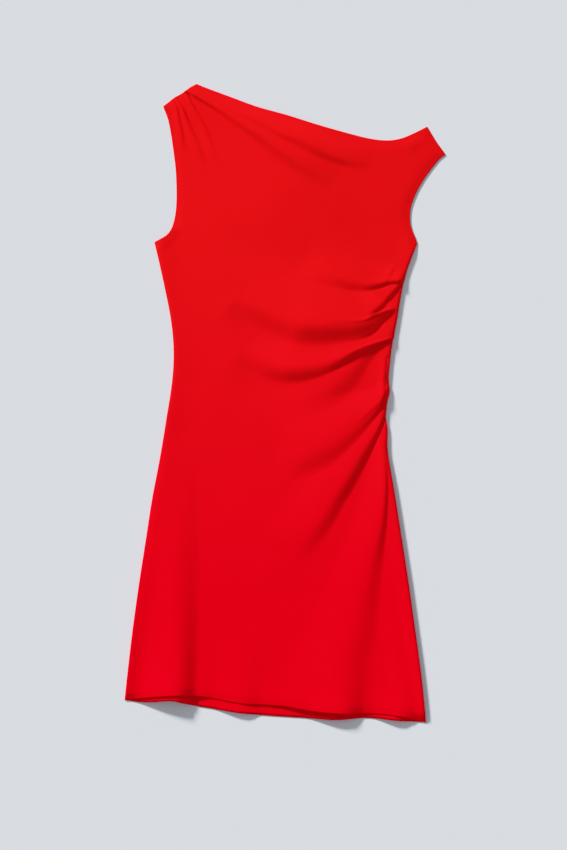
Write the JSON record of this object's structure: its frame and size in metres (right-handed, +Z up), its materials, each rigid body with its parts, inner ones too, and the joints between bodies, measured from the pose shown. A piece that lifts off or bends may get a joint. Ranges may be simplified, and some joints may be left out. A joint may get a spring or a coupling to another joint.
{
  "type": "draped mini dress",
  "caption": "Sleeveless mini dress laid flat, with a slanted neckline, shoulder pleats and side-seam gathers that sweep folds across the waist.",
  "frame": {"origin": "on the surface the dress lies on, under the middle of its box", "axes": "+Z up, +Y from hem to shoulders, +X to the viewer's right of the laid dress"},
  "size_m": [0.4428, 0.8793, 0.0157],
  "materials": {
    "back_jersey": "matt red viscose jersey, under side of the dress as it lies",
    "front_jersey": "matt red viscose jersey with faint crosswise slubs"
  },
  "bodies": {
    "root": {"back_panel": "back_jersey", "front_panel": "front_jersey"}
  },
  "joints": []
}
